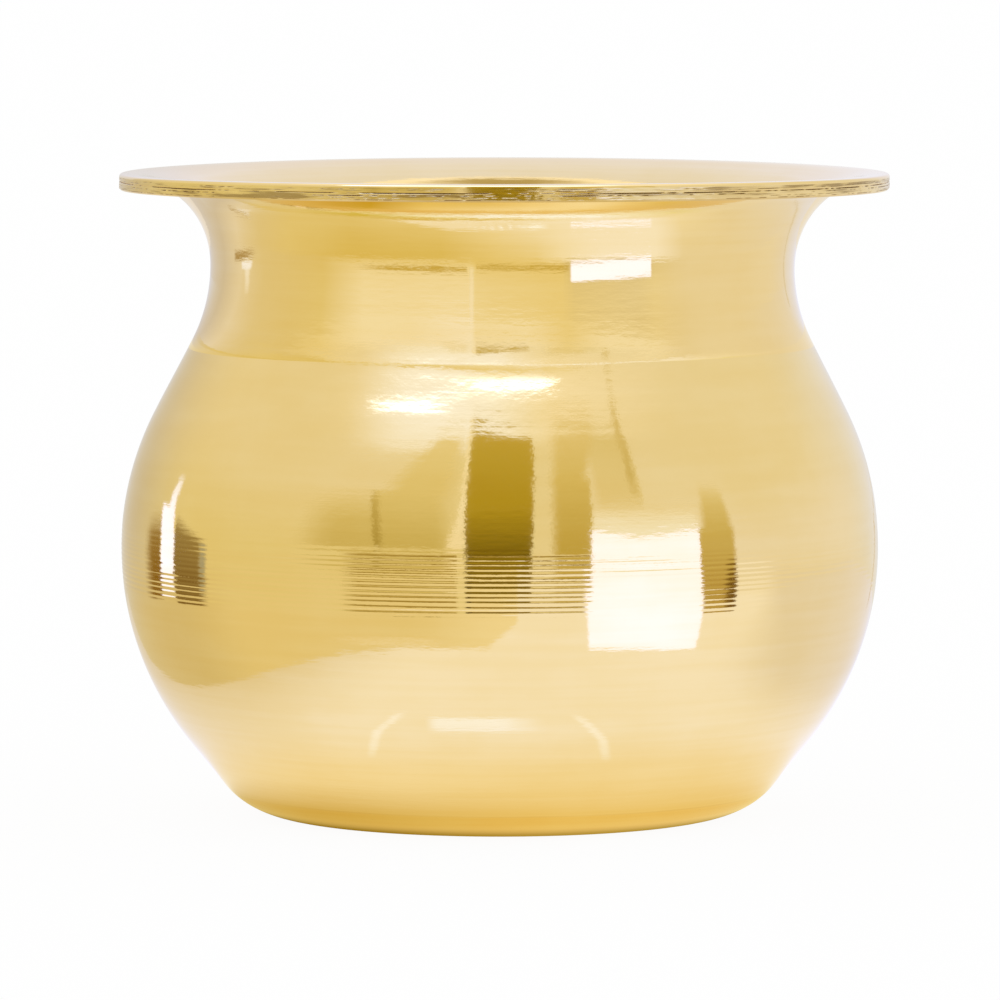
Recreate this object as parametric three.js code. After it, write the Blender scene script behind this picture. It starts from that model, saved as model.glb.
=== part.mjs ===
// A brass lota: a wide-mouthed water pot of sheet brass, made in pieces and brazed together.
// Millimetres, +Z up, origin at the centre of the underside. Every piece is turned about Z.
import * as THREE from 'three';

// The outside form, from the foot up
const bellyRadius = 64.05;
const bellyHeight = 45.2; // of the belly's widest level
const footInset = 21.55; // from the belly in to where the line of the lower wall meets the floor
const shoulderRise = 47.55; // from the belly's widest level up to the neck's narrowest
const rimOverhang = 0.95; // from the belly out to the rim's edge
const lipWidth = 2.05; // the flat part of the lip
const flareReach = 13.6; // from where the lip lies flat in to the neck
const flareRise = 14.75; // from the neck up to the lip's underside

// How much of each straight run its round corners take
const underBellyShare = 0.404; // of the belly's height
const footCornerShare = 0.2; // of the lower wall
const overBellyShare = 0.388; // of the shoulder
const underNeckShare = 0.208; // of the shoulder

// Sheet and ring
const wallThickness = 1.2;
const baseThickness = 1.6;
const ringThickness = 1.45;
const lipRound = 0.55; // on the lip's upper edge
const ringChamfer = 0.3; // on the ring's lower edge

// Brazed joints
const girthLap = 6; // how far the upper shell tucks into the lower bowl
const baseLap = 5; // how far the lower bowl tucks into the base dish
const setInRun = 2.5; // the length over which a tucked edge comes back out to the wall
const seamWidth = 0.3; // the braze line that shows between two edges
const brazeFilm = 0.15; // the braze between two lapped faces
const brazeClearance = 0.02; // on each side of the braze
const brazeRecess = 0.35; // how far the rim's braze stays back from the edge
const ringClearance = 0.15; // between the flare and the ring's bore
const dishTurnShare = 0.88; // how much of the foot's corner belongs to the base dish
const filletShare = 0.6; // how much of the ring's bore the rim's braze covers

// Facets
const turnSegments = 60;
const cornerSteps = 3;
const lapSteps = 2;
const bellySteps = 6;
const shoulderSteps = 5;
const flareSteps = 7;
const filletSteps = 3;
const roundSteps = 3;

// Brass colours, from the deepest to the palest
const ringColor = 0xb8903c;
const brazeColor = 0xcfa95a;
const baseColor = 0xd9a94b;
const bowlColor = 0xe6c06a;
const shellColor = 0xe8c670;

const quarterTurn = Math.PI / 2;

// Radii and heights that follow from the sizes above
const rimRadius = bellyRadius + rimOverhang;
const neckRadius = rimRadius - lipWidth - flareReach;
const neckInset = bellyRadius - neckRadius;
const neckHeight = bellyHeight + shoulderRise;
const lipUnderside = neckHeight + flareRise;
const lipTop = lipUnderside + wallThickness;
const ringTop = lipUnderside - brazeFilm;
const ringBottom = ringTop - ringThickness;

// The lower wall leans in from the belly to the foot
const lowerRise = bellyHeight * (1 - underBellyShare);
const lowerLean = Math.atan2(footInset, lowerRise);
const lowerRun = lowerRise / Math.cos(lowerLean);
const underBellyRadius = bellyHeight * underBellyShare / Math.tan(lowerLean / 2);
const cornerTurn = quarterTurn - lowerLean;
const cornerReach = lowerRun * footCornerShare;
const cornerRadius = cornerReach / Math.tan(cornerTurn / 2);
const flatRadius = bellyRadius - footInset - cornerReach;

// The shoulder leans in from the belly to the neck
const shoulderSlope = shoulderRise / neckInset;
const shoulderShare = overBellyShare + underNeckShare;
const shoulderLean = Math.atan(1 / shoulderSlope) + Math.asin(shoulderShare / Math.hypot(shoulderSlope, 1));
const shoulderRun = neckInset / Math.sin(shoulderLean);
const overBellyRadius = shoulderRun * overBellyShare / Math.tan(shoulderLean / 2);
const underNeckRadius = shoulderRun * underNeckShare / Math.tan(shoulderLean / 2);

// A place on the outside form, with the way that faces out of the pot there
function place(r, z, facing) {
  return { r, z, outR: Math.cos(facing), outZ: Math.sin(facing) };
}

// The curves of the outside form, each by how far it has turned

function footCorner(turn) {
  const facing = turn - quarterTurn;
  const r = flatRadius + cornerRadius * Math.cos(facing);
  return place(r, cornerRadius * (1 + Math.sin(facing)), facing);
}

function underBelly(turn) {
  const r = bellyRadius - underBellyRadius * (1 - Math.cos(turn));
  return place(r, bellyHeight - underBellyRadius * Math.sin(turn), -turn);
}

function overBelly(turn) {
  const r = bellyRadius - overBellyRadius * (1 - Math.cos(turn));
  return place(r, bellyHeight + overBellyRadius * Math.sin(turn), turn);
}

function underNeck(turn) {
  const r = neckRadius + underNeckRadius * (1 - Math.cos(turn));
  return place(r, neckHeight - underNeckRadius * Math.sin(turn), turn);
}

// The flare is a quarter of an ellipse, upright at the neck and flat at the lip
function flare(turn) {
  const r = neckRadius + flareReach * (1 - Math.cos(turn));
  const z = neckHeight + flareRise * Math.sin(turn);
  return place(r, z, -Math.atan2(Math.sin(turn) / flareRise, Math.cos(turn) / flareReach));
}

// Places at even steps along one curve
function along(curve, from, to, steps) {
  const places = [];
  for (let i = 0; i <= steps; i += 1) {
    places.push(curve(from + (to - from) * i / steps));
  }
  return places;
}

// The points that lie a given depth inside the places
function atDepth(places, depth) {
  return places.map((p) => new THREE.Vector2(p.r - p.outR * depth, p.z - p.outZ * depth));
}

function reversed(list) {
  return [...list].reverse();
}

function closed(section) {
  return [...section, section[0]];
}

// A piece turned about Z from its section, which starts and ends on the axis or closes on itself
function turned(name, section, color, roughness) {
  const geometry = new THREE.LatheGeometry(section, turnSegments);
  geometry.rotateX(quarterTurn);
  const material = new THREE.MeshStandardMaterial({ color, roughness, metalness: 1 });
  const mesh = new THREE.Mesh(geometry, material);
  mesh.name = name;
  return mesh;
}

// The lap at the foot and the lap at the girth, each along the outer piece from its lap's end to its edge
const dishTurn = cornerTurn * dishTurnShare;
const baseLapStart = dishTurn - baseLap / cornerRadius;
const girthLapTurn = girthLap / underBellyRadius;
const baseLapPlaces = along(footCorner, baseLapStart, dishTurn, lapSteps);
const girthLapPlaces = along(underBelly, girthLapTurn, 0, lapSteps);

// The flare's part over the rim's braze, which reaches down the ring's bore by its fillet
const filletTurn = Math.asin(1 - (brazeFilm + ringThickness * filletShare) / flareRise);
const filletPlaces = along(flare, filletTurn, quarterTurn, filletSteps);

// The ring's bore clears the flare at the level of the ring's top
const boreTurn = Math.asin(1 - brazeFilm / flareRise);
const boreRadius = flare(boreTurn).r + ringClearance;

// The flat bottom with its edge turned up
function baseDish() {
  const corner = [...along(footCorner, 0, baseLapStart, cornerSteps), ...baseLapPlaces.slice(1)];
  const section = [
    new THREE.Vector2(0, 0),
    ...atDepth(corner, 0),
    ...reversed(atDepth(corner, baseThickness)),
    new THREE.Vector2(0, baseThickness),
  ];
  return turned('base_dish', section, baseColor, 0.3);
}

// The lower half of the belly; its lower edge is set in and tucked into the base dish
function lowerBowl() {
  const tuckDepth = baseThickness + brazeFilm;
  const edge = footCorner(dishTurn + seamWidth / cornerRadius);
  const wallFoot = footCorner(cornerTurn);
  const setInEnd = {
    ...wallFoot,
    r: wallFoot.r + setInRun * Math.sin(lowerLean),
    z: wallFoot.z + setInRun * Math.cos(lowerLean),
  };
  const belly = [...along(underBelly, lowerLean, girthLapTurn, bellySteps), ...girthLapPlaces.slice(1)];
  const section = [
    ...atDepth([edge, wallFoot, ...belly], 0),
    ...reversed(atDepth([setInEnd, ...belly], wallThickness)),
    ...reversed(atDepth(baseLapPlaces, tuckDepth + wallThickness)),
    ...atDepth([...baseLapPlaces, edge], tuckDepth),
  ];
  return turned('lower_bowl', closed(section), bowlColor, 0.22);
}

// The lip's outer edge, from its lower corner round to its flat top
function lipEdge() {
  const edge = [new THREE.Vector2(rimRadius, lipUnderside)];
  for (let i = 0; i <= roundSteps; i += 1) {
    const turn = quarterTurn * i / roundSteps;
    const r = rimRadius - lipRound * (1 - Math.cos(turn));
    edge.push(new THREE.Vector2(r, lipTop - lipRound * (1 - Math.sin(turn))));
  }
  return edge;
}

// The upper half of the belly, the shoulder, the neck and the flare, turned out flat as the lip
function upperShell() {
  const tuckDepth = wallThickness + brazeFilm;
  const edge = overBelly(seamWidth / overBellyRadius);
  const setInEndTurn = (seamWidth + setInRun) / overBellyRadius;
  const above = [
    ...along(overBelly, setInEndTurn, shoulderLean, shoulderSteps),
    ...along(underNeck, shoulderLean, 0, shoulderSteps),
    ...along(flare, 0, filletTurn, flareSteps).slice(1),
    ...filletPlaces.slice(1),
  ];
  const section = [
    ...atDepth([edge, ...above], 0),
    ...lipEdge(),
    ...reversed(atDepth(above, wallThickness)),
    ...reversed(atDepth(girthLapPlaces, tuckDepth + wallThickness)),
    ...atDepth([...girthLapPlaces, edge], tuckDepth),
  ];
  return turned('upper_shell', closed(section), shellColor, 0.2);
}

// The flat ring that stiffens the lip from below
function rimRing() {
  const section = [
    new THREE.Vector2(boreRadius, ringBottom),
    new THREE.Vector2(rimRadius - ringChamfer, ringBottom),
    new THREE.Vector2(rimRadius, ringBottom + ringChamfer),
    new THREE.Vector2(rimRadius, ringTop),
    new THREE.Vector2(boreRadius, ringTop),
  ];
  return turned('rim_ring', closed(section), ringColor, 0.38);
}

// A lap joint's braze: the film between the two walls, and the line that shows between the two edges
function lapBraze(name, lapPlaces, lineFrom, lineTo, outerWall) {
  const outerFace = outerWall + brazeClearance;
  const innerFace = outerWall + brazeFilm - brazeClearance;
  const section = [
    ...atDepth([lineFrom, lineTo], 0),
    ...atDepth([lineTo], innerFace),
    ...reversed(atDepth(lapPlaces, innerFace)),
    ...atDepth([...lapPlaces, lineFrom], outerFace),
  ];
  return turned(name, closed(section), brazeColor, 0.42);
}

function baseBraze() {
  const lineFrom = footCorner(dishTurn + brazeClearance / cornerRadius);
  const lineTo = footCorner(dishTurn + (seamWidth - brazeClearance) / cornerRadius);
  return lapBraze('base_braze', baseLapPlaces, lineFrom, lineTo, baseThickness);
}

function girthBraze() {
  const lineFrom = overBelly(brazeClearance / overBellyRadius);
  const lineTo = overBelly((seamWidth - brazeClearance) / overBellyRadius);
  return lapBraze('girth_braze', girthLapPlaces, lineFrom, lineTo, wallThickness);
}

// The rim's braze: the film between lip and ring, and the fillet between the ring's bore and the flare
function rimBraze() {
  const outerRadius = rimRadius - brazeRecess;
  const boreFace = boreRadius - brazeClearance;
  const filmBottom = ringTop + brazeClearance;
  const flareFace = atDepth(filletPlaces, -brazeClearance);
  const section = [
    new THREE.Vector2(boreFace, filmBottom),
    new THREE.Vector2(outerRadius, filmBottom),
    new THREE.Vector2(outerRadius, lipUnderside - brazeClearance),
    ...reversed(flareFace),
    new THREE.Vector2(boreFace, flareFace[0].y),
  ];
  return turned('rim_braze', closed(section), brazeColor, 0.42);
}

const lota = new THREE.Group();
lota.add(baseDish());
lota.add(lowerBowl());
lota.add(upperShell());
lota.add(rimRing());
lota.add(baseBraze());
lota.add(girthBraze());
lota.add(rimBraze());

export default lota;
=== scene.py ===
# The looks of the brass lota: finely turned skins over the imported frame, brass surfaces and a small studio.
# Metres, +Z up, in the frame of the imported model. Azimuths in the studio are 0 towards the camera's side (-Y)
# and grow towards +X. On the pot, turns about Z start at +X.
import math

import bmesh
import bpy
import numpy as np
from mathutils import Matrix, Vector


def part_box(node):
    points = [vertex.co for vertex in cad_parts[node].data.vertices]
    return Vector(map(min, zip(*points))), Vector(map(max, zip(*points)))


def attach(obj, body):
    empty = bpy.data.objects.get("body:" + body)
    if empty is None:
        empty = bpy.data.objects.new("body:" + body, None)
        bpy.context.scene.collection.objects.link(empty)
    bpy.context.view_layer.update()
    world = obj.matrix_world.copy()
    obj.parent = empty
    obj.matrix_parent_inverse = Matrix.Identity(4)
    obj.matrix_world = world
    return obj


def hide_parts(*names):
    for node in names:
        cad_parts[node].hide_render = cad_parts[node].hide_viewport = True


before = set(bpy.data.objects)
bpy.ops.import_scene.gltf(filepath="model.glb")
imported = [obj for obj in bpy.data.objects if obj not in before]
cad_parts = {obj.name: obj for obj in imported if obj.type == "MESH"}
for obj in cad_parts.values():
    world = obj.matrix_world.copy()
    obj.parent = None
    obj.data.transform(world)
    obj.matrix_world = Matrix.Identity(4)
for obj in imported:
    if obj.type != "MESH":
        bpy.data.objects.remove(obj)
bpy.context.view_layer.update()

MM = 0.001
QUARTER = math.pi / 2

# Sizes of the pot, from the frame
BELLY_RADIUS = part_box("lower_bowl")[1].x
BELLY_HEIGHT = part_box("lower_bowl")[1].z
RIM_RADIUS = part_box("rim_ring")[1].x
RING_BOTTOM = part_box("rim_ring")[0].z
RING_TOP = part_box("rim_ring")[1].z
LIP_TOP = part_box("upper_shell")[1].z

# Sizes of the pot that the boxes don't give, as in the part's source
FOOT_INSET = 21.55 * MM
SHOULDER_RISE = 47.55 * MM
LIP_WIDTH = 2.05 * MM
FLARE_REACH = 13.6 * MM
UNDER_BELLY_SHARE = 0.404
FOOT_CORNER_SHARE = 0.2
OVER_BELLY_SHARE = 0.388
UNDER_NECK_SHARE = 0.208
WALL = 1.2 * MM
BASE = 1.6 * MM
LIP_ROUND = 0.55 * MM
RING_CHAMFER = 0.3 * MM
GIRTH_LAP = 6 * MM
BASE_LAP = 5 * MM
SET_IN_RUN = 2.5 * MM
SEAM = 0.3 * MM
FILM = 0.15 * MM
RECESS = 0.35 * MM
BORE_CLEARANCE = 0.15 * MM
DISH_TURN_SHARE = 0.88
FILLET_SHARE = 0.6

# How finely the skins are turned
SEGMENTS = 600
RIM_SEGMENTS = 1500
SKIN_STEP = 0.6 * MM
GROOVE_STEP = 0.11 * MM
INSIDE_STEP = 1.6 * MM
FLAT_STEP = 3 * MM
LAP_STEP = 1.2 * MM
BORE_STEP = 1 * MM
FILLET_STEP = 0.3 * MM
LIP_STEPS = 14
EDGE_STEP = 0.06 * MM
SAMPLES = 4001
SHARP_ANGLE = math.radians(34)

# The lathe grooves where the girth joint was scraped flush
GROOVE_TOP = 49.9 * MM
GROOVE_BOTTOM = 38.0 * MM
GROOVE_PITCH = 0.8 * MM
GROOVE_DEPTH = 0.034 * MM
GROOVE_DEEPENS = 0.75  # how much deeper than the highest groove the lowest is, as a share
FAINT_MIDDLE = 66      # the azimuth round which the grooves are faint, by how much, and half its width
FAINT_SHARE = 0.8
FAINT_HALF_WIDTH = 28

# Handwork: how far the pot leans to +X by height, how the rim is warped, and how uneven the walls are
LEAN_HEIGHTS = [0, 50 * MM, 92 * MM, 108 * MM]
LEANS = [-0.05 * MM, -0.05 * MM, 0.42 * MM, 0.75 * MM]
RIM_WARP = 0.2 * MM
WARP_START = 94 * MM
WAVE_DEPTH = 0.012 * MM
HAMMER_SHARE = 0.07       # of the broad waves' depth
PLAIN_FOOT = 8 * MM       # the height over which the unevenness begins
FILE_DEPTH = 0.006 * MM
# The slits of the rim's edge are painted darker by their depth: painted shade in the slits.
SLIT_SHADE_DEPTH = 0.08 * MM    # a slit this deep is quite dark
SHOULDER_SWELL = 0.15 * MM

# Places on the shoulder where the hammer left the wall a little flatter: azimuth and height of the middle,
# half the width in degrees, half the height, and how far the wall dips
FLATS = [(-17.6, 72.4 * MM, 8.6, 2.7 * MM, 0.062 * MM), (2.4, 76.8 * MM, 9.6, 3.6 * MM, 0.085 * MM)]

# Radii and heights that follow
NECK_RADIUS = RIM_RADIUS - LIP_WIDTH - FLARE_REACH
NECK_INSET = BELLY_RADIUS - NECK_RADIUS
NECK_HEIGHT = BELLY_HEIGHT + SHOULDER_RISE
LIP_UNDERSIDE = LIP_TOP - WALL
FLARE_RISE = LIP_UNDERSIDE - NECK_HEIGHT
LOWER_RISE = BELLY_HEIGHT * (1 - UNDER_BELLY_SHARE)
LOWER_LEAN = math.atan2(FOOT_INSET, LOWER_RISE)
LOWER_RUN = LOWER_RISE / math.cos(LOWER_LEAN)
UNDER_BELLY_RADIUS = BELLY_HEIGHT * UNDER_BELLY_SHARE / math.tan(LOWER_LEAN / 2)
CORNER_TURN = QUARTER - LOWER_LEAN
CORNER_REACH = LOWER_RUN * FOOT_CORNER_SHARE
CORNER_RADIUS = CORNER_REACH / math.tan(CORNER_TURN / 2)
FLAT_RADIUS = BELLY_RADIUS - FOOT_INSET - CORNER_REACH
SLOPE = SHOULDER_RISE / NECK_INSET
SHOULDER_LEAN = math.atan(1 / SLOPE) + math.asin((OVER_BELLY_SHARE + UNDER_NECK_SHARE) / math.hypot(SLOPE, 1))
SHOULDER_RUN = NECK_INSET / math.sin(SHOULDER_LEAN)
OVER_BELLY_RADIUS = SHOULDER_RUN * OVER_BELLY_SHARE / math.tan(SHOULDER_LEAN / 2)
UNDER_NECK_RADIUS = SHOULDER_RUN * UNDER_NECK_SHARE / math.tan(SHOULDER_LEAN / 2)
DISH_TURN = CORNER_TURN * DISH_TURN_SHARE
BASE_LAP_START = DISH_TURN - BASE_LAP / CORNER_RADIUS
GIRTH_LAP_TURN = GIRTH_LAP / UNDER_BELLY_RADIUS
FILLET_TURN = math.asin(1 - (FILM + (RING_TOP - RING_BOTTOM) * FILLET_SHARE) / FLARE_RISE)
BORE_TURN = math.asin(1 - FILM / FLARE_RISE)
BORE_RADIUS = NECK_RADIUS + FLARE_REACH * (1 - math.cos(BORE_TURN)) + BORE_CLEARANCE


# The outside form. A place is a row: radius, height, and the way out of the pot as its two shares.

def places(r, z, facing):
    return np.stack([r, z, np.cos(facing), np.sin(facing)], axis=1)


def foot_corner(turn):
    facing = turn - QUARTER
    return places(FLAT_RADIUS + CORNER_RADIUS * np.cos(facing), CORNER_RADIUS * (1 + np.sin(facing)), facing)


def under_belly(turn):
    r = BELLY_RADIUS - UNDER_BELLY_RADIUS * (1 - np.cos(turn))
    return places(r, BELLY_HEIGHT - UNDER_BELLY_RADIUS * np.sin(turn), -turn)


def over_belly(turn):
    r = BELLY_RADIUS - OVER_BELLY_RADIUS * (1 - np.cos(turn))
    return places(r, BELLY_HEIGHT + OVER_BELLY_RADIUS * np.sin(turn), turn)


def under_neck(turn):
    r = NECK_RADIUS + UNDER_NECK_RADIUS * (1 - np.cos(turn))
    return places(r, NECK_HEIGHT - UNDER_NECK_RADIUS * np.sin(turn), turn)


def flare(turn):
    r = NECK_RADIUS + FLARE_REACH * (1 - np.cos(turn))
    z = NECK_HEIGHT + FLARE_RISE * np.sin(turn)
    return places(r, z, -np.arctan2(np.sin(turn) / FLARE_RISE, np.cos(turn) / FLARE_REACH))


def one(curve, turn):
    return curve(np.array([turn], float))


def straight(start, end):
    """A curve by share between two places that face the same way."""
    return lambda share: start + (end - start) * np.asarray(share)[:, None]


def even_step(step):
    return lambda z: np.full_like(z, step)


def skin_step(z):
    """Fine in the band of grooves, coarser elsewhere."""
    reach = 1.5 * MM
    inside = np.clip(np.minimum(z - GROOVE_BOTTOM, GROOVE_TOP - z) / reach + 1, 0, 1)
    return SKIN_STEP + (GROOVE_STEP - SKIN_STEP) * inside


def along(curve, start, end, step_at=skin_step):
    """Places on a curve whose spacing follows a step that depends on height."""
    turns = np.linspace(start, end, SAMPLES)
    fine = curve(turns)
    lengths = np.hypot(np.diff(fine[:, 0]), np.diff(fine[:, 1]))
    steps = lengths / step_at((fine[1:, 1] + fine[:-1, 1]) / 2)
    count = np.concatenate([[0], np.cumsum(steps)])
    wanted = np.linspace(0, count[-1], max(int(math.ceil(count[-1])), 2) + 1)
    return curve(np.interp(wanted, count, turns))


def joined(*runs):
    """Runs of places end to end, without the double places between them."""
    return np.concatenate([runs[0]] + [run[1:] for run in runs[1:]])


# Sections. A row of a section is a place at some depth, with what is worked into it: skin or edge.

PLAIN, SKIN, EDGE = 0, 1, 2


def at_depth(rows, depth, kind=PLAIN):
    moved = rows.copy()
    moved[:, 0] -= rows[:, 2] * depth
    moved[:, 1] -= rows[:, 3] * depth
    return np.column_stack([moved, np.full(len(rows), kind)])


def points(pairs, facing, kind=PLAIN):
    r, z = np.array(pairs, float).T
    return np.column_stack([places(r, z, np.full(len(r), facing)), np.full(len(r), kind)])


def stepped(start, end, step):
    """Points from one pair of radius and height to another, both ends kept."""
    count = max(int(math.ceil(math.dist(start, end) / step)), 1)
    return [tuple(np.array(start) + (np.array(end) - np.array(start)) * i / count) for i in range(count + 1)]


# Relief: what the turning, scraping and hammering left in the walls

def knots_round(turns, seed, count, low, high):
    """A smooth random value round the pot."""
    values = np.random.default_rng(seed).uniform(low, high, count)
    at = (turns / (2 * math.pi) * count) % count
    left = np.floor(at).astype(int)
    blend = at - left
    blend = blend * blend * (3 - 2 * blend)
    return values[left % count] * (1 - blend) + values[(left + 1) % count] * blend


def wave_terms(seed, count, round_waves, high_waves):
    draw = np.random.default_rng(seed)
    return [(draw.integers(1, round_waves), draw.uniform(-1, 1) * high_waves, draw.uniform(0, 2 * math.pi),
             draw.uniform(0.4, 1)) for _ in range(count)]


def waves(turns, z, terms):
    """A sum of slanting waves, between about -1 and 1."""
    total = 0
    for turns_round, per_metre, phase, weight in terms:
        total = total + weight * np.sin(turns_round * turns + per_metre * z + phase)
    return total / math.sqrt(len(terms))


BROAD_WAVES = wave_terms(11, 9, 6, 130)
HAMMER_WAVES = wave_terms(12, 26, 46, 900)


def grooves(turns, z):
    """Lathe grooves that deepen and fade round the girth."""
    total = 0
    count = int((GROOVE_TOP - GROOVE_BOTTOM) / GROOVE_PITCH)
    draw = np.random.default_rng(21)
    for i in range(count):
        middle = GROOVE_TOP - (i + 0.5) * GROOVE_PITCH + draw.uniform(-0.08, 0.08) * MM
        middle = middle + knots_round(turns, 300 + i, 9, -0.06, 0.06) * MM
        width = GROOVE_PITCH * draw.uniform(0.26, 0.34)
        lower = (i + 0.5) / count
        fade = min(1, (i + 0.8) / 3, (count - i) / 2)
        depth = GROOVE_DEPTH * (1 + GROOVE_DEEPENS * lower) * fade * draw.uniform(0.75, 1.15)
        depth = depth * knots_round(turns, 400 + i, 14, 0.45, 1.25)
        total = total - depth * np.exp(-((z - middle) / width) ** 2)
    off = np.degrees(np.angle(np.exp(1j * (turns + QUARTER - math.radians(FAINT_MIDDLE)))))
    return total * (1 - FAINT_SHARE * np.exp(-(off / FAINT_HALF_WIDTH) ** 4))


def flats(turns, z):
    """Hammered flats, which turn the wall a little further up in their middle."""
    total = 0
    for azimuth, height, half_width, half_height, dip in FLATS:
        off = np.degrees(np.angle(np.exp(1j * (turns - math.radians(azimuth) + QUARTER))))
        up = (z - height) / half_height
        total = total - dip * up * np.exp(-up ** 2 - (off / half_width) ** 4)
    return total


def swell(z):
    """The straight part of the shoulder, a little hollow below and full above."""
    bottom = BELLY_HEIGHT + OVER_BELLY_RADIUS * math.sin(SHOULDER_LEAN)
    top = NECK_HEIGHT - UNDER_NECK_RADIUS * math.sin(SHOULDER_LEAN)
    share = np.clip((z - bottom) / (top - bottom), 0, 1)
    return SHOULDER_SWELL * (share - (1 - np.cos(math.pi * share)) / 2)


def skin_relief(turns, z):
    broad = waves(turns, z, BROAD_WAVES) * WAVE_DEPTH
    hammered = waves(turns, z, HAMMER_WAVES) * WAVE_DEPTH * HAMMER_SHARE
    above_foot = np.clip(z / PLAIN_FOOT, 0, 1)
    return (broad + hammered) * above_foot + grooves(turns, z) + swell(z) + flats(turns, z)


def slits(turns, z, seed, middle, width, depth, often):
    """One dashed slit round the rim's edge."""
    wander = knots_round(turns, seed, 40, -0.06, 0.06) * MM
    coarse = knots_round(turns, seed + 1, 60, 0, 1)
    fine = knots_round(turns, seed + 2, 520, 0, 1)
    open_share = np.clip((coarse * 0.55 + fine * 0.45 - (1 - often)) * 5, 0, 1)
    return -depth * open_share * np.exp(-((z - middle - wander) / width) ** 2)


def slits_round(turns, z):
    """All the slits in the rim's edge, as depths."""
    lines = [(31, 0.28, 0.07, 0.10, 0.55), (41, 0.62, 0.05, 0.07, 0.5), (51, 1.0, 0.07, 0.12, 0.55),
             (61, 1.45, 0.09, 0.22, 0.68), (71, 1.78, 0.05, 0.09, 0.5), (81, 2.05, 0.06, 0.10, 0.5)]
    total = 0
    for seed, above, width, depth, often in lines:
        total = total + slits(turns, z, seed, RING_BOTTOM + above * MM, width * MM, depth * MM, often)
    return total


def edge_relief(turns, z):
    """File marks and slits on the rim's edge."""
    return waves(turns, z, EDGE_WAVES) * FILE_DEPTH + slits_round(turns, z)


EDGE_WAVES = wave_terms(13, 20, 150, 9000)


def placed(name, data):
    """A new object in the scene."""
    thing = bpy.data.objects.new(name, data)
    bpy.context.scene.collection.objects.link(thing)
    return thing


def turned(name, section, node, segments=SEGMENTS):
    """A piece turned about Z from its section, with its relief and the pot's lean, in place of a CAD node.
    Faces of the rim's edge get the second material, and the depths of their slits are kept to paint shade into
    the slits."""
    rows = len(section)
    turns = np.arange(segments) / segments * 2 * math.pi
    r, z, out_r, out_z, kind = (column[:, None] for column in section.T)
    grid = np.broadcast_to(turns, (rows, segments))
    depth = np.where(kind == SKIN, skin_relief(grid, z), 0) + np.where(kind == EDGE, edge_relief(grid, z), 0)
    radius = r + out_r * depth
    height = z + out_z * depth
    lifted = np.clip((height - WARP_START) / (LIP_TOP - WARP_START), 0, 1) ** 2
    height = height - RIM_WARP * lifted * np.cos(2 * grid)
    x = radius * np.cos(grid) + np.interp(height, LEAN_HEIGHTS, LEANS)
    y = radius * np.sin(grid)
    index = np.arange(rows * segments).reshape(rows, segments)
    across = np.roll(index, -1, axis=1)
    quads = np.stack([index[:-1], across[:-1], across[1:], index[1:]], axis=-1).reshape(-1, 4)
    vertices = np.stack([x, y, height], axis=-1).reshape(-1, 3)
    faces = quads.tolist()
    if section[0, 0] == 0:
        faces = pole_faces(vertices, index, faces)
    mesh = bpy.data.meshes.new(name)
    mesh.from_pydata(vertices.tolist(), [], faces)
    if section[0, 0] == 0:
        drop_loose(mesh)
    mesh.polygons.foreach_set("use_smooth", np.ones(len(mesh.polygons), bool))
    if (kind == EDGE).any():
        on_edge = (kind[:-1, 0] == EDGE) & (kind[1:, 0] == EDGE)
        mesh.polygons.foreach_set("material_index", np.repeat(on_edge.astype(np.int32), segments))
        # The depth of the slits, kept to paint shade into them on the rim's edge
        slit_shade = mesh.attributes.new("slit_shade", "FLOAT", "POINT")
        depths = np.where(kind == EDGE, -slits_round(grid, z) / SLIT_SHADE_DEPTH, 0)
        slit_shade.data.foreach_set("value", np.clip(depths, 0, 1).ravel())
    mesh.set_sharp_from_angle(angle=SHARP_ANGLE)
    piece = placed(name, mesh)
    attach(piece, "root")
    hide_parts(node)
    return piece


def pole_faces(vertices, index, faces):
    """Closes a section's two ends on the axis with fans."""
    first, last = index[0, 0], index[-1, 0]
    ends = {**{int(v): int(first) for v in index[0]}, **{int(v): int(last) for v in index[-1]}}
    closed = []
    for face in faces:
        corners = []
        for v in face:
            v = ends.get(v, v)
            if v not in corners:
                corners.append(v)
        closed.append(corners)
    return closed


def drop_loose(mesh):
    """Deletes the vertices that no face uses."""
    work = bmesh.new()
    work.from_mesh(mesh)
    loose = [v for v in work.verts if not v.link_faces]
    bmesh.ops.delete(work, geom=loose, context="VERTS")
    work.to_mesh(mesh)
    work.free()


# The pieces

inside = even_step(INSIDE_STEP)
lap = even_step(LAP_STEP)


def dish_base():
    flat = straight(places(np.zeros(1), np.zeros(1), np.array([-QUARTER]))[0], one(foot_corner, 0)[0])
    corner = joined(along(flat, 0, 1, even_step(FLAT_STEP)), along(foot_corner, 0, DISH_TURN))
    under = at_depth(corner, 0, SKIN)
    under[0, 0] = 0
    over = at_depth(corner, BASE)[::-1]
    over[-1, 0] = 0
    return turned("dish_base", np.concatenate([under, over]), "base_dish")


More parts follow.
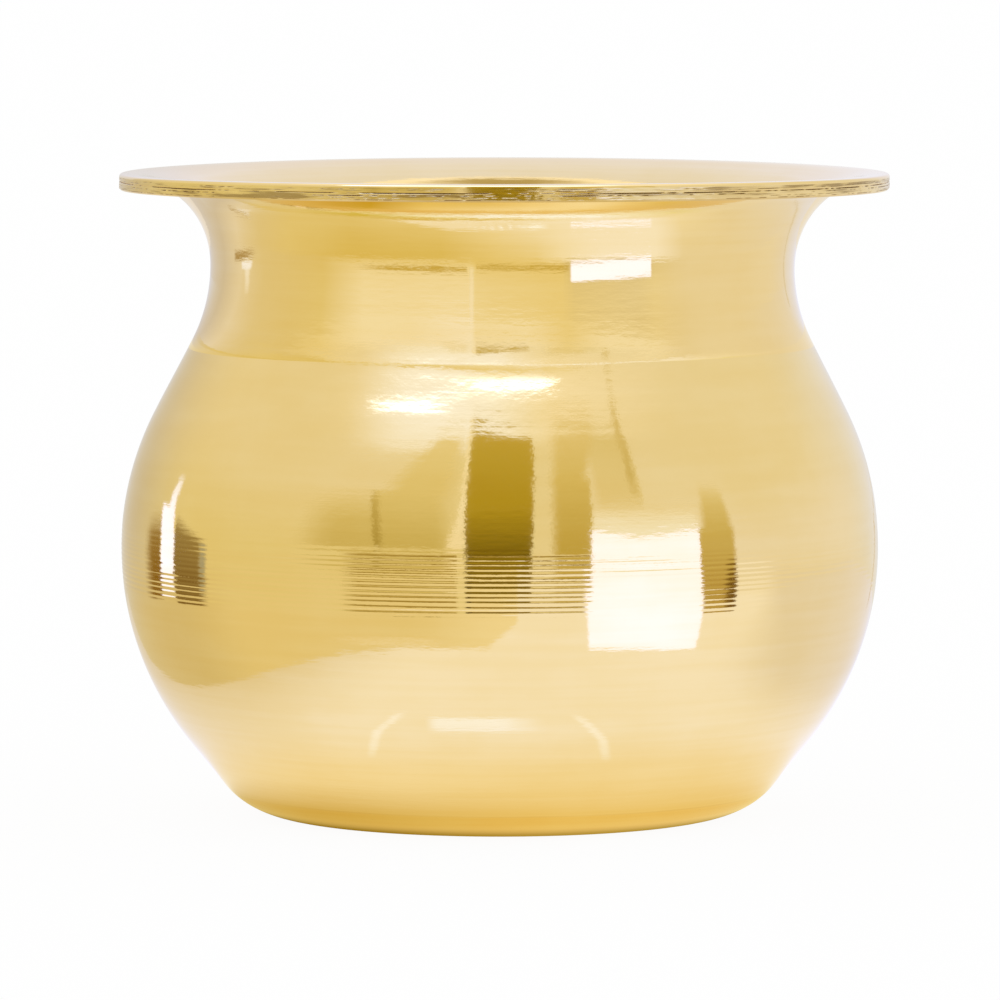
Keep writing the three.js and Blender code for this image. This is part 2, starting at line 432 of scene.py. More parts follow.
def bowl_lower():
    tuck = BASE + FILM
    edge = one(foot_corner, DISH_TURN + SEAM / CORNER_RADIUS)
    wall_foot = one(foot_corner, CORNER_TURN)
    set_in = wall_foot.copy()
    set_in[0, :2] += SET_IN_RUN * np.array([math.sin(LOWER_LEAN), math.cos(LOWER_LEAN)])
    belly_foot = one(under_belly, LOWER_LEAN)
    low = along(foot_corner, DISH_TURN + SEAM / CORNER_RADIUS, CORNER_TURN)
    wall = along(straight(wall_foot[0], belly_foot[0]), 0, 1)
    belly = along(under_belly, LOWER_LEAN, 0)
    inner_wall = along(straight(set_in[0], belly_foot[0]), 0, 1, inside)
    inner_belly = along(under_belly, LOWER_LEAN, 0, inside)
    tucked = along(foot_corner, BASE_LAP_START, DISH_TURN, lap)
    section = np.concatenate([
        at_depth(joined(low, wall, belly), 0, SKIN),
        at_depth(joined(inner_wall, inner_belly), WALL)[::-1],
        at_depth(tucked, tuck + WALL)[::-1],
        at_depth(np.concatenate([tucked, edge]), tuck),
    ])
    return turned("bowl_lower", closed(section), "lower_bowl")


def closed(section):
    return np.concatenate([section, section[:1]])


def lip_edge():
    """The lip's outer edge, rounded over to its flat top."""
    side = stepped((RIM_RADIUS, LIP_UNDERSIDE), (RIM_RADIUS, LIP_TOP - LIP_ROUND), EDGE_STEP)
    upright = points(side, 0, EDGE)
    turns = np.linspace(0, QUARTER, LIP_STEPS)[1:]
    centre_r, centre_z = RIM_RADIUS - LIP_ROUND, LIP_TOP - LIP_ROUND
    over = places(centre_r + LIP_ROUND * np.cos(turns), centre_z + LIP_ROUND * np.sin(turns), turns)
    return np.concatenate([upright, np.column_stack([over, np.full(len(turns), PLAIN)])])


def shell_upper():
    tuck = WALL + FILM
    edge_turn = SEAM / OVER_BELLY_RADIUS
    cone = straight(one(over_belly, SHOULDER_LEAN)[0], one(under_neck, SHOULDER_LEAN)[0])

    def above(start, step):
        return joined(along(over_belly, start, SHOULDER_LEAN, step), along(cone, 0, 1, step),
                      along(under_neck, SHOULDER_LEAN, 0, step), along(flare, 0, QUARTER, step))

    tucked = along(under_belly, GIRTH_LAP_TURN, 0, lap)
    section = np.concatenate([
        at_depth(above(edge_turn, skin_step), 0, SKIN),
        lip_edge(),
        at_depth(above((SEAM + SET_IN_RUN) / OVER_BELLY_RADIUS, even_step(SKIN_STEP)), WALL)[::-1],
        at_depth(tucked, tuck + WALL)[::-1],
        at_depth(np.concatenate([tucked, one(over_belly, edge_turn)]), tuck),
    ])
    return turned("shell_upper", closed(section), "upper_shell")


def ring_rim():
    below = (RIM_RADIUS - RING_CHAMFER, RING_BOTTOM)
    chamfer = (RIM_RADIUS, RING_BOTTOM + RING_CHAMFER)
    section = np.concatenate([
        points(stepped((BORE_RADIUS, RING_BOTTOM), below, BORE_STEP), -QUARTER),
        points(stepped(below, chamfer, EDGE_STEP)[1:-1], -QUARTER / 2),
        points(stepped(chamfer, (RIM_RADIUS, RING_TOP), EDGE_STEP), 0, EDGE),
        points([(BORE_RADIUS, RING_TOP)], QUARTER),
    ])
    return turned("ring_rim", closed(section), "rim_ring", RIM_SEGMENTS)


def lap_line(name, node, tucked, line, outer_wall):
    """The braze of a lap: the line that shows between two edges, and the film behind it."""
    section = np.concatenate([
        at_depth(line, 0, SKIN),
        at_depth(line[-1:], outer_wall + FILM),
        at_depth(tucked, outer_wall + FILM)[::-1],
        at_depth(np.concatenate([tucked, line[:1]]), outer_wall),
    ])
    return turned(name, closed(section), node)


def line_base():
    line = along(foot_corner, DISH_TURN, DISH_TURN + SEAM / CORNER_RADIUS, even_step(GROOVE_STEP))
    return lap_line("line_base", "base_braze", along(foot_corner, BASE_LAP_START, DISH_TURN, lap), line, BASE)


def line_girth():
    line = along(over_belly, 0, SEAM / OVER_BELLY_RADIUS, even_step(GROOVE_STEP))
    return lap_line("line_girth", "girth_braze", along(under_belly, GIRTH_LAP_TURN, 0, lap), line, WALL)


def line_rim():
    """The braze between lip and ring, a little back from the edge, with its fillet in the ring's bore."""
    fillet = at_depth(along(flare, FILLET_TURN, QUARTER, even_step(FILLET_STEP)), 0)[::-1]
    section = np.concatenate([
        points([(BORE_RADIUS, RING_TOP)], -QUARTER),
        points([(RIM_RADIUS - RECESS, RING_TOP), (RIM_RADIUS - RECESS, LIP_UNDERSIDE)], 0),
        fillet,
        points([(BORE_RADIUS, fillet[-1, 1])], -QUARTER),
    ])
    return turned("line_rim", closed(section), "rim_braze")


# Materials

class Nodes:
    """A short way to write a shader's node tree."""

    def __init__(self, tree):
        self.tree = tree
        self.tree.nodes.clear()

    def add(self, kind, **settings):
        node = self.tree.nodes.new(kind)
        for key, value in settings.items():
            setattr(node, key, value)
        return node

    def link(self, source, target):
        self.tree.links.new(source, target)

    def put(self, socket, value):
        if hasattr(value, "is_output"):
            self.link(value, socket)
        else:
            socket.default_value = value

    def math(self, operation, a, b=0.0, clamp=False):
        node = self.add("ShaderNodeMath", operation=operation, use_clamp=clamp)
        self.put(node.inputs[0], a)
        self.put(node.inputs[1], b)
        return node.outputs[0]

    def times(self, a, b):
        return self.math("MULTIPLY", a, b)

    def plus(self, a, b):
        return self.math("ADD", a, b)

    def smooth(self, value, low, high):
        """0 below low, 1 above high, and smooth between; low may be above high."""
        node = self.add("ShaderNodeMapRange", interpolation_type="SMOOTHSTEP")
        self.put(node.inputs["Value"], value)
        node.inputs["From Min"].default_value = min(low, high)
        node.inputs["From Max"].default_value = max(low, high)
        node.inputs["To Min"].default_value = 0 if low < high else 1
        node.inputs["To Max"].default_value = 1 if low < high else 0
        return node.outputs["Result"]

    def scale(self, value, low, high):
        """Turns 0..1 into low..high."""
        node = self.add("ShaderNodeMapRange")
        self.put(node.inputs["Value"], value)
        node.inputs["To Min"].default_value = low
        node.inputs["To Max"].default_value = high
        return node.outputs["Result"]

    def mix(self, share, a, b):
        node = self.add("ShaderNodeMix", data_type="RGBA")
        self.put(node.inputs["Factor"], share)
        self.put(node.inputs["A"], a if hasattr(a, "is_output") else (*a, 1))
        self.put(node.inputs["B"], b if hasattr(b, "is_output") else (*b, 1))
        return node.outputs["Result"]

    def noise(self, vector, scale, detail=2.0, roughness=0.5):
        node = self.add("ShaderNodeTexNoise")
        self.link(vector, node.inputs["Vector"])
        node.inputs["Scale"].default_value = scale
        node.inputs["Detail"].default_value = detail
        node.inputs["Roughness"].default_value = roughness
        return node.outputs["Fac"]


def new_material(name):
    """A new material, with its node tree to fill."""
    material = bpy.data.materials.new(name)
    material.use_nodes = True
    return material, Nodes(material.node_tree)


def turning_coordinates(n, round_scale, across_scale):
    """Coordinates in which noise becomes long streaks round the pot."""
    place = n.add("ShaderNodeTexCoord").outputs["Object"]
    parts = n.add("ShaderNodeSeparateXYZ")
    n.link(place, parts.inputs[0])
    x, y, z = parts.outputs
    radius = n.math("SQRT", n.plus(n.times(x, x), n.times(y, y)))
    across = n.plus(radius, z)
    joined_parts = n.add("ShaderNodeCombineXYZ")
    for i, (part, scale) in enumerate(((x, round_scale), (y, round_scale), (across, across_scale))):
        n.link(n.times(part, scale), joined_parts.inputs[i])
    return place, joined_parts.outputs[0], z


def brass(name, tone, deep_tone, rough, spread, streak, pits, stretch=0.3, slit_shade=False):
    """Polished brass: two tones in patches, turning lines, fine scratches, and a few dark pits. On the rim's
    edge, the slits are darkened by their depth, which is painted shade, and there are patches of dirt.
    """
    material, n = new_material(name)
    place, round_place, z = turning_coordinates(n, 14, 2300)
    _, broad_place, _ = turning_coordinates(n, 30, 520)
    _, hatch_place, _ = turning_coordinates(n, 330, 1250)

    patches = n.noise(place, 38, 4, 0.6)
    lines = n.noise(round_place, 1, 3, 0.65)
    bands = n.noise(broad_place, 1, 2, 0.5)
    hatch = n.noise(hatch_place, 1, 3, 0.55)
    grain = n.noise(place, 1100, 2, 0.6)

    # Scratches are the thin level lines of a stretched noise
    scratch_field = n.noise(place, 55, 3, 0.7)
    scratch = n.smooth(n.math("ABSOLUTE", n.math("SUBTRACT", scratch_field, 0.5)), 0.0035, 0.0005)
    scratch = n.times(scratch, n.smooth(n.noise(place, 24, 2), 0.5, 0.62))

    cells = n.add("ShaderNodeTexVoronoi", feature="F1")
    n.link(place, cells.inputs["Vector"])
    cells.inputs["Scale"].default_value = 130
    chosen = n.add("ShaderNodeSeparateColor")
    n.link(cells.outputs["Color"], chosen.inputs[0])
    pit = n.times(n.smooth(cells.outputs["Distance"], 0.028, 0.014),
                  n.smooth(chosen.outputs[0], 1 - pits, 1 - pits + 0.02))

    tint = n.mix(n.smooth(n.plus(n.times(patches, 0.6), n.times(bands, 0.4)),
                          0.36, 0.66), tone, deep_tone)
    tint = n.mix(n.times(pit, 0.8), tint, (0.16, 0.09, 0.03))
    # Painted shade in the slits of the rim's edge, darker the deeper they are, together with patches of dirt
    if slit_shade:
        slit = n.add("ShaderNodeAttribute", attribute_name="slit_shade").outputs["Fac"]
        smut = n.times(n.smooth(n.noise(broad_place, 2.2, 3, 0.6), 0.5, 0.64), 0.6)
        dark = n.math("MAXIMUM", n.times(slit, 0.85), smut)
        tint = n.mix(dark, tint, (0.20, 0.11, 0.03))
        rough = n.plus(rough, n.times(dark, 0.3))

    roughness = n.plus(rough, n.times(n.math("SUBTRACT", bands, 0.5), spread))
    roughness = n.plus(roughness, n.times(scratch, 0.05))
    roughness = n.math("ADD", roughness, n.times(pit, 0.35), clamp=True)

    height = n.times(lines, 0.5)
    for layer, weight in ((bands, 1.6), (hatch, 1.3), (grain, 0.25)):
        height = n.plus(height, n.times(layer, weight))
    on_shoulder = n.times(n.smooth(z, 0.038, 0.05), n.smooth(z, 0.092, 0.08))
    height = n.times(height, n.scale(on_shoulder, 0.65, 1))
    height = n.math("SUBTRACT", height, n.times(pit, 6))
    bump = n.add("ShaderNodeBump")
    bump.inputs["Strength"].default_value = 1
    bump.inputs["Distance"].default_value = streak
    n.link(height, bump.inputs["Height"])

    tangent = n.add("ShaderNodeTangent", direction_type="RADIAL", axis="Z")
    shader = n.add("ShaderNodeBsdfPrincipled")
    shader.inputs["Metallic"].default_value = 1
    shader.inputs["Anisotropic"].default_value = stretch
    shader.inputs["Anisotropic Rotation"].default_value = 0.25
    n.link(tangent.outputs[0], shader.inputs["Tangent"])
    n.link(tint, shader.inputs["Base Color"])
    n.link(roughness, shader.inputs["Roughness"])
    n.link(bump.outputs[0], shader.inputs["Normal"])
    output = n.add("ShaderNodeOutputMaterial")
    n.link(shader.outputs[0], output.inputs["Surface"])
    return material


BRASS = (0.905, 0.71, 0.34)
DEEP_BRASS = (0.885, 0.675, 0.29)
shell_brass = brass("shell_brass", BRASS, DEEP_BRASS, 0.065, 0.05, 0.000014, 0.06)
base_brass = brass("base_brass", (0.90, 0.69, 0.30), (0.88, 0.64, 0.24), 0.12, 0.08, 0.000014, 0.10)
rim_brass = brass("rim_brass", (0.88, 0.68, 0.32), (0.60, 0.41, 0.15), 0.14, 0.12, 0.000012, 0.3, 0.2)
rim_edge = brass("rim_edge", (0.90, 0.71, 0.34), (0.74, 0.55, 0.22), 0.14, 0.12, 0.000012, 0.3, 0.2, True)
spelter = brass("spelter", (0.89, 0.69, 0.32), (0.84, 0.61, 0.24), 0.12, 0.08, 0.000006, 0.2)
spelter_dressed = brass("spelter_dressed", BRASS, (0.87, 0.66, 0.28), 0.07, 0.05, 0.000014, 0.06)

for made, material in ((dish_base(), base_brass), (bowl_lower(), shell_brass), (shell_upper(), shell_brass),
                       (ring_rim(), rim_brass), (line_base(), spelter), (line_girth(), spelter_dressed),
                       (line_rim(), spelter)):
    made.data.materials.append(material)
    # Pieces with slits also get the rim's edge material, with its painted shade in the slits
    if "slit_shade" in made.data.attributes:
        made.data.materials.append(rim_edge)


# The studio: a white floor and sky for the eye, and cards that only the brass reflects. Their places and tones
# were worked out from what the brass shows in the photograph, rounded, and then moved.

WHITE_LEVEL = 1.04
FLOOR_HALF = 30.0
FLOOR_GLOW = 1.0
FLOOR_GLOW_SHARE = 0.95  # the floor glows by itself this much, so that shadows on it stay pale
CARD_STEPS = 12          # faces along each side of a card
LEAST_FADE = 0.001
TABLE_CARD_HEIGHT = 0.6


def only_reflected(panel):
    """Hides a panel from all but the brass."""
    for ray in ("camera", "diffuse", "shadow", "transmission", "volume_scatter"):
        setattr(panel, "visible_" + ray, False)


def glow_only(mesh, material, n, tone, shown=None):
    """Ends a material that only glows with its tone, and is clear where it isn't shown."""
    glow = n.add("ShaderNodeEmission")
    n.link(tone, glow.inputs["Color"])
    surface = glow.outputs[0]
    if shown is not None:
        clear = n.add("ShaderNodeBsdfTransparent")
        blend = n.add("ShaderNodeMixShader")
        n.link(shown, blend.inputs[0])
        n.link(clear.outputs[0], blend.inputs[1])
        n.link(surface, blend.inputs[2])
        surface = blend.outputs[0]
    n.link(surface, n.add("ShaderNodeOutputMaterial").inputs["Surface"])
    material.cycles.emission_sampling = "NONE"
    mesh.materials.append(material)


def floor():
    mesh = bpy.data.meshes.new("floor")
    half = FLOOR_HALF
    corners = [(-half, -half, 0), (half, -half, 0), (half, half, 0), (-half, half, 0)]
    mesh.from_pydata(corners, [], [(0, 1, 2, 3)])
    plane = placed("floor", mesh)
    material, n = new_material("floor_white")
    matt = n.add("ShaderNodeBsdfDiffuse")
    matt.inputs["Color"].default_value = (0.9, 0.9, 0.9, 1)
    glow = n.add("ShaderNodeEmission")
    glow.inputs["Strength"].default_value = FLOOR_GLOW
    blend = n.add("ShaderNodeMixShader")
    blend.inputs[0].default_value = FLOOR_GLOW_SHARE
    n.link(matt.outputs[0], blend.inputs[1])
    n.link(glow.outputs[0], blend.inputs[2])
    n.link(blend.outputs[0], n.add("ShaderNodeOutputMaterial").inputs["Surface"])
    mesh.materials.append(material)
    plane.visible_glossy = False


def polar(azimuth, radius, z):
    """A place from its azimuth in degrees and its radius and height in millimetres."""
    turn = math.radians(azimuth)
    return np.array([math.sin(turn) * radius, -math.cos(turn) * radius, z]) * MM


def between(start, end, share):
    return [a + (b - a) * share for a, b in zip(start, end)]


def card(name, low_left, low_right, top_right, top_left, low_tone, top_tone, soft=(0.02, 0.02, 0.02, 0.02)):
    """A glowing card between four corners, each an azimuth, a radius and a height.
    Soft is the share of the card over which it fades in, at its left, right, bottom and top."""
    shares = np.linspace(0, 1, CARD_STEPS + 1)
    vertices = []
    for v in shares:
        for u in shares:
            place = between(between(low_left, low_right, u), between(top_left, top_right, u), v)
            vertices.append(tuple(polar(*place)))
    row = CARD_STEPS + 1
    faces = [(j * row + i, j * row + i + 1, (j + 1) * row + i + 1, (j + 1) * row + i)
             for j in range(CARD_STEPS) for i in range(CARD_STEPS)]
    mesh = bpy.data.meshes.new(name)
    mesh.from_pydata(vertices, [], faces)
    layer = mesh.uv_layers.new(name="share")
    for loop in mesh.loops:
        j, i = divmod(loop.vertex_index, row)
        layer.data[loop.index].uv = (shares[i], shares[j])
    card_material(mesh, name, low_tone, top_tone, soft)
    panel = placed(name, mesh)
    only_reflected(panel)


def upright(name, radius, *corners_and_looks):
    """A card whose corners, each an azimuth and a height, all have one radius."""
    corners = [(azimuth, radius, z) for azimuth, z in corners_and_looks[:4]]
    card(name, *corners, *corners_and_looks[4:])


def on_table(name, *corners_and_looks):
    """A card just above the table, whose corners are each an azimuth and a radius."""
    corners = [(azimuth, radius, TABLE_CARD_HEIGHT) for azimuth, radius in corners_and_looks[:4]]
    card(name, *corners, *corners_and_looks[4:])


def card_material(mesh, name, low_tone, top_tone, soft):
    material, n = new_material(name)
    parts = n.add("ShaderNodeSeparateXYZ")
    n.link(n.add("ShaderNodeUVMap", uv_map="share").outputs[0], parts.inputs[0])
    u, v = parts.outputs[0], parts.outputs[1]
    left, right, low, top = (max(s, LEAST_FADE) for s in soft)
    shown = n.times(n.smooth(u, 0, left), n.smooth(u, 1, 1 - right))
    shown = n.times(shown, n.times(n.smooth(v, 0, low), n.smooth(v, 1, 1 - top)))
    glow_only(mesh, material, n, n.mix(v, low_tone, top_tone), shown)


def band(name, low, top, stops, fade=0):
    """A glowing band round the pot between two circles, each a radius and a height in millimetres.
    A stop is an azimuth with the tones at the bottom and the top; between stops the tones blend.
    Fade is the share of the band, from its top, over which it fades out."""
    turns = np.arange(stops[0][0], stops[-1][0] + 0.5, 1.0)
    at = [stop[0] for stop in stops]
    ends = [np.stack([np.interp(turns, at, [stop[side][c] for stop in stops]) for c in range(3)], axis=1)
            for side in (1, 2)]
    shares = [0, 1 - fade, 1] if fade else [0, 1]
    count = len(turns)
    vertices, tones, shown = [], [], []
    for share in shares:
        radius, z = between(low, top, share)
        vertices += [tuple(polar(turn, radius, z)) for turn in turns]
        tones.append(ends[0] + (ends[1] - ends[0]) * share)
        shown += [0 if fade and share == 1 else 1] * count
    faces = [(row * count + i, row * count + i + 1, (row + 1) * count + i + 1, (row + 1) * count + i)
             for row in range(len(shares) - 1) for i in range(count - 1)]
    mesh = bpy.data.meshes.new(name)
    mesh.from_pydata(vertices, [], faces)
    tone = mesh.attributes.new("tone", "FLOAT_VECTOR", "POINT")
    tone.data.foreach_set("vector", np.concatenate(tones).ravel())
    mesh.attributes.new("shown", "FLOAT", "POINT").data.foreach_set("value", np.array(shown, float))
    material, n = new_material(name)
    glow_only(mesh, material, n, n.add("ShaderNodeAttribute", attribute_name="tone").outputs["Vector"],
              n.add("ShaderNodeAttribute", attribute_name="shown").outputs["Fac"])
    panel = placed(name, mesh)
    only_reflected(panel)


WHITE = (1.25, 1.41, 2.7)
OVERHEAD = (2.1, 2.6, 4.6)
FRONT = 229  # the radius at which most of the dark panels in front stand
KEY = 240    # the radius of the key card in front
NEAR = 90    # the radius of the small cards beside the belly
FAR = 150    # the radius of the thin line behind

# The tall dark window in front, with bright lines along its sides
upright("window", FRONT, (-8.6, 18), (7.6, 18), (9.1, 120), (-9.5, 120), (0.04, 0.02, 0.0),
        (0.47, 0.36, 0.03), (0.02, 0.02, 0.03, 0.0))
upright("window_top", FRONT, (-9.5, 120), (9.1, 120), (10.8, 256), (-9.9, 272), (0.47, 0.36, 0.03),
        (0.60, 0.48, 0.10), (0.02, 0.02, 0.0, 0.01))
upright("window_line", FRONT + 2, (-15.5, 64), (-8.6, 64), (-9.2, 112), (-11.4, 112), (0.98, 0.93, 0.85),
        (1.0, 0.98, 0.95), (0.4, 0.02, 0.1, 0.0))
upright("window_line_top", FRONT + 2, (-11.4, 112), (-9.2, 112), (-9.6, 282), (-10.9, 282),
        (1.0, 0.98, 0.95), (1.0, 0.96, 0.86), (0.3, 0.05, 0.0, 0.1))

# A rounded panel to its left, and paler ones to its right
upright("dome_low", FRONT + 6, (-31.6, 62), (-9, 62), (-10, 142), (-36.2, 142), (0.64, 0.55, 0.23),
        (0.80, 0.72, 0.42), (0.03, 0.35, 0.08, 0.0))
upright("dome_top", FRONT + 6, (-36.2, 142), (-10, 142), (-11, 285), (-20, 285), (0.80, 0.72, 0.42),
        (0.90, 0.84, 0.62), (0.35, 0.3, 0.0, 0.35))
upright("dome_edge", FRONT + 4, (-32.8, 64), (-29.6, 64), (-33.6, 148), (-37.0, 148), (0.42, 0.33, 0.08),
        (0.66, 0.56, 0.24), (0.15, 0.7, 0.1, 0.3))
upright("dome_side", FRONT + 9, (-60, 60), (-32, 60), (-36, 160), (-56, 140), (0.66, 0.57, 0.26),
        (0.82, 0.75, 0.46), (0.6, 0.02, 0.1, 0.6))
upright("right_dark", FRONT + 6, (12.2, 46), (23.2, 46), (25.9, 165), (13.0, 165), (0.56, 0.45, 0.12),
        (0.74, 0.64, 0.30), (0.3, 0.03, 0.1, 0.0))
upright("right_dark_top", FRONT + 6, (13.0, 165), (25.9, 165), (36, 285), (16, 285), (0.74, 0.64, 0.30),
        (0.86, 0.79, 0.56), (0.3, 0.25, 0.0, 0.25))
upright("right_light", FRONT + 8, (25.5, 104), (39.6, 104), (42.4, 264), (26, 285), (0.84, 0.78, 0.58),
        (0.80, 0.74, 0.50), (0.2, 0.02, 0.2, 0.2))
upright("right_line", FRONT + 7, (35.8, 122), (40.4, 122), (40.2, 160), (36.2, 160), (0.78, 0.70, 0.44),
        (0.70, 0.61, 0.33), (0.5, 0.5, 0.6, 0.0))
upright("right_line_top", FRONT + 7, (36.2, 160), (40.2, 160), (43.4, 285), (39.8, 285), (0.68, 0.59, 0.30),
        (0.76, 0.68, 0.42), (0.5, 0.4, 0.0, 0.2))

# The white key card to the right, the light that it throws on the table, and its soft glow above
upright("key_left", KEY, (23.6, 15), (37.6, 13), (37.4, 78), (23.8, 92), WHITE, WHITE,
        (0.02, 0.0, 0.02, 0.03))
upright("key_right", KEY, (37.4, 13), (55.8, 11), (55.0, 83), (37.4, 79), WHITE, WHITE,
        (0.0, 0.02, 0.02, 0.03))
upright("key_low", NEAR, (17.9, 16.5), (43.0, 15.0), (41.6, 41), (15.6, 41), WHITE, WHITE,
        (0.03, 0.02, 0.03, 0.0))
upright("key_glow", KEY + 2, (24, 76), (56, 76), (57, 118), (25, 140), (1.02, 1.12, 1.5),
        (0.92, 0.88, 0.78), (0.04, 0.1, 0.0, 0.6))
upright("column", NEAR, (40.6, 31), (49.9, 31), (49.9, 57), (40.6, 57), (0.50, 0.37, 0.12),
        (0.68, 0.58, 0.26), (0.02, 0.16, 0.03, 0.0))
upright("column_top", NEAR, (40.6, 57), (49.9, 57), (48.6, 74), (42.6, 76), (0.68, 0.58, 0.26),
        (0.88, 0.83, 0.62), (0.25, 0.25, 0.0, 0.5))
upright("column_foot", NEAR - 1, (45.6, 32), (49.6, 32), (49.6, 47), (46.6, 47), (0.16, 0.09, 0.02),
        (0.30, 0.20, 0.04), (0.5, 0.12, 0.1, 0.4))

# Low dark strips in front
upright("strip_left", FRONT, (-43, 17), (-10.4, 17), (-10.8, 66), (-43, 66), (0.28, 0.18, 0.0),
        (0.80, 0.70, 0.36), (0.2, 0.02, 0.04, 0.45))
upright("strip_right", FRONT - 2, (-7.6, 17), (24, 17), (24, 50), (-7.6, 50), (0.22, 0.14, 0.01),
        (0.70, 0.58, 0.20), (0.02, 0.02, 0.1, 0.6))

# A narrow window far to the left, with a dark block beside it
upright("left_white", NEAR, (-85.9, 36), (-79.0, 36.6), (-78.6, 48.6), (-85.4, 48), WHITE, WHITE,
        (0.08, 0.08, 0.05, 0.0))
upright("left_white_upper", NEAR, (-85.4, 48), (-78.6, 48.6), (-80.8, 60), (-87.6, 59.4), WHITE, WHITE,
        (0.08, 0.08, 0.0, 0.1))
upright("left_white_tail", NEAR, (-84.6, 58), (-80.8, 58), (-80.6, 70), (-84.0, 70), WHITE,
        (1.05, 1.15, 1.7), (0.3, 0.3, 0.0, 0.3))
upright("left_dark", NEAR + 1, (-79.6, 30), (-66.6, 30), (-66.0, 51), (-79.6, 58.5), (0.22, 0.14, 0.04),
        (0.39, 0.31, 0.15), (0.02, 0.3, 0.05, 0.2))
upright("left_grey", NEAR, (-69.6, 37), (-66.2, 37), (-65.8, 50), (-69.2, 50), (0.44, 0.45, 0.44),
        (0.46, 0.46, 0.44), (0.4, 0.4, 0.2, 0.3))
upright("left_brown", NEAR + 1, (-97, 29), (-85.6, 31), (-86.6, 59), (-96, 56), (0.24, 0.12, 0.0),
        (0.42, 0.31, 0.13), (0.6, 0.02, 0.12, 0.4))

# A thin darker line near the right outline
upright("far_line", FAR, (132.8, 14), (134.2, 14), (138.8, 44), (137.2, 44), (0.66, 0.50, 0.30),
        (0.70, 0.56, 0.34), (0.4, 0.4, 0.3, 0.0))
upright("far_line_top", FAR, (137.2, 44), (138.8, 44), (151, 58), (149, 58), (0.70, 0.56, 0.34),
        (0.80, 0.70, 0.50), (0.4, 0.4, 0.0, 0.4))

# The soft light above, whose near edge shows on the shoulder
card("overhead_left", (-56, 480, 524), (-13, 480, 612), (-13, 300, 640), (-80, 300, 640), OVERHEAD,
     OVERHEAD, (0.15, 0.0, 0.2, 0.0))
card("overhead", (-13, 480, 612), (26, 480, 608), (60, 300, 640), (-13, 300, 640), OVERHEAD, OVERHEAD,
     (0.0, 0.15, 0.2, 0.0))
card("overhead_top", (-80, 300, 640), (60, 300, 640), (60, 20, 660), (-80, 20, 660), WHITE, WHITE,
     (0.1, 0.1, 0.0, 0.0))
upright("overhead_glow", 484, (-62, 330), (20, 440), (24, 640), (-66, 600), (0.98, 0.99, 1.05),
        (1.08, 1.20, 1.8), (0.35, 0.35, 0.5, 0.0))

# A skirt round the neck, level with the light that leaves the shoulder, so that only flare and neck
# reflect it in the main view. Its tones paint the reflections that the flare and neck show.
SKIRT_RADIUS = 57.5
SKIRT_HEIGHT = 84.5
SKIRT_SLOPE = 1.15
DEEP = (0.79, 0.66, 0.25)
OCHRE = (0.82, 0.72, 0.40)
DULL = (0.85, 0.77, 0.48)
PANEL = (0.88, 0.78, 0.44)
TAN = (0.83, 0.77, 0.60)
BUFF = (0.92, 0.85, 0.60)
IVORY = (0.96, 0.93, 0.83)
CREAM = (1.0, 0.99, 1.0)
LIGHT = (1.04, 1.08, 1.36)
SIDE = (0.90, 0.87, 0.84)
EDGE_GREY = (0.70, 0.67, 0.68)
EDGE_PALE = (0.87, 0.85, 0.88)
STONE = (0.74, 0.75, 0.84)
LILAC = (0.86, 0.88, 1.05)
UNDER_DEEP = (0.70, 0.58, 0.08)
UNDER_GOLD = (0.79, 0.71, 0.24)
UNDER_PALE = (0.95, 0.95, 0.62)
UNDER_CREAM = (1.09, 1.2, 1.5)
UNDER_WHITE = (1.18, 1.43, 2.6)
KEY_SHADOW = (0.68, 0.61, 0.45)


def on_skirt(radius, above=0.0):
    """The height of the skirt at a radius."""
    return SKIRT_HEIGHT + SKIRT_SLOPE * (radius - SKIRT_RADIUS) + above


def skirt_band(name, low, top, stops, fade=0):
    band(name, (low, on_skirt(low)), (top, on_skirt(top)), stops, fade)


def skirt_card(name, azimuths, radii, *looks):
    """A card on the skirt between two azimuths at its inner edge, two at its outer edge, and two radii."""
    inner_left, inner_right, outer_left, outer_right = azimuths
    low, top = radii
    card(name, (inner_left, low, on_skirt(low, 0.1)), (inner_right, low, on_skirt(low, 0.1)),
         (outer_right, top, on_skirt(top, 0.1)), (outer_left, top, on_skirt(top, 0.1)), *looks)


skirt_band("skirt_contact", 52.9, 53.9, [
    (-180, SIDE, SIDE), (-120, EDGE_PALE, EDGE_PALE), (-82, TAN, TAN), (-57, DULL, DULL),
    (-30, BUFF, IVORY), (-5, CREAM, CREAM), (24, CREAM, CREAM), (45, IVORY, IVORY), (60, SIDE, SIDE),
    (180, SIDE, SIDE)])
skirt_band("skirt_inner", 53.9, 55.3, [
    (-180, SIDE, SIDE), (-140, STONE, STONE), (-100, EDGE_GREY, EDGE_GREY), (-78, TAN, TAN),
    (-60, DULL, OCHRE), (-36, UNDER_GOLD, UNDER_DEEP), (-20, UNDER_CREAM, UNDER_PALE),
    (-5, UNDER_WHITE, UNDER_PALE), (9, UNDER_WHITE, UNDER_CREAM), (23, UNDER_CREAM, UNDER_WHITE),
    (34, CREAM, UNDER_CREAM), (46, SIDE, UNDER_PALE), (62, SIDE, SIDE), (180, SIDE, SIDE)])
skirt_band("skirt_fold", 55.3, 56.2, [
    (-180, SIDE, SIDE), (-140, STONE, STONE), (-100, EDGE_GREY, EDGE_GREY), (-74, OCHRE, OCHRE),
    (-34, DEEP, DULL), (-14, OCHRE, DULL), (4, BUFF, BUFF), (14, CREAM, CREAM), (23, LIGHT, LIGHT),
    (38, CREAM, CREAM), (71, SIDE, SIDE), (180, SIDE, SIDE)])
